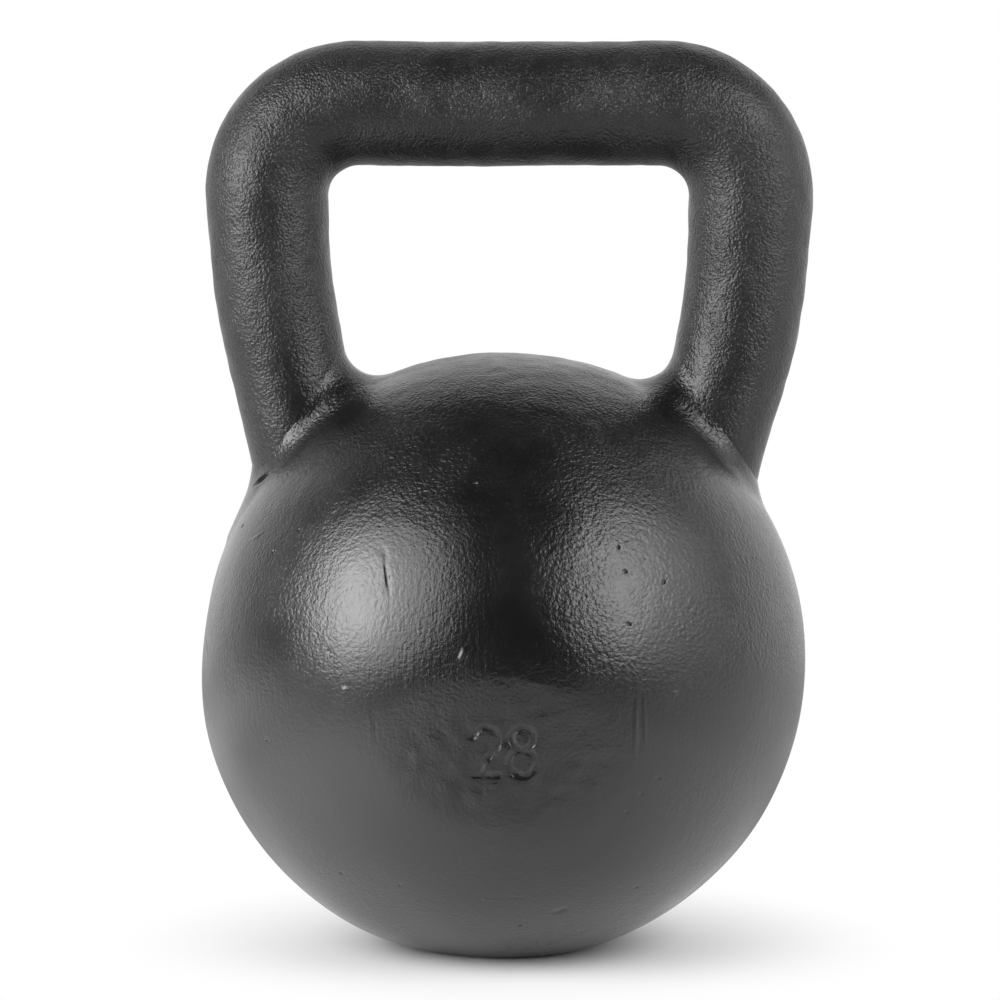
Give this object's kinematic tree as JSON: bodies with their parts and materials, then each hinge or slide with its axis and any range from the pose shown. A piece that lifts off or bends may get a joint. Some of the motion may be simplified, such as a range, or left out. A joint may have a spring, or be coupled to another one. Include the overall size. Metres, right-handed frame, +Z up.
{
  "type": "kettlebell",
  "caption": "Cast iron kettlebell: a round ball on a small flat foot, with a wide straight grip bar bent down into it.",
  "frame": {"origin": "centre of the foot, on the plane that the kettlebell stands on", "axes": "+Z up through the ball and the middle of the grip, +X along the grip, -Y out of the side with the mark pad"},
  "size_m": [0.1898, 0.1879, 0.2839],
  "materials": {
    "ball_enamel": "gloss",
    "handle_enamel": "satin",
    "trim_lead": "matte",
    "trim_steel": "satin"
  },
  "bodies": {
    "root": {"ball": "ball_enamel", "handle": "handle_enamel", "trim_slug": "trim_lead", "trim_disc": "trim_steel"}
  },
  "joints": []
}
